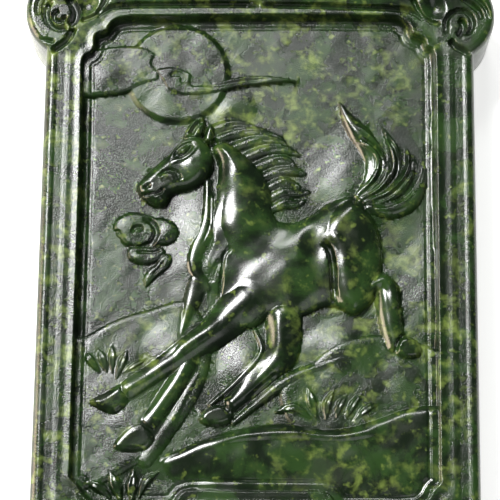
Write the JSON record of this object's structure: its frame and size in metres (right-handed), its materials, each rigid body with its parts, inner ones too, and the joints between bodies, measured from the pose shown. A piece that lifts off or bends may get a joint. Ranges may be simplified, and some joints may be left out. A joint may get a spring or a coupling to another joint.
{
  "type": "jade amulet",
  "caption": "Flat carved jade pendant tablet with a sunk panel showing a leaping horse under clouds, a moulded frame, and a cloud-shaped head pierced for a cord.",
  "frame": {"origin": "centre of the outline, on the flat back", "axes": "+X to the right of the carved face, +Y up the tablet towards the head with the cord hole, +Z out of the carved face"},
  "size_m": [0.043, 0.06, 0.0075],
  "materials": {
    "jade": "polished, with a satin ground in the panel"
  },
  "bodies": {
    "root": {"jade_amulet": "jade"}
  },
  "joints": []
}
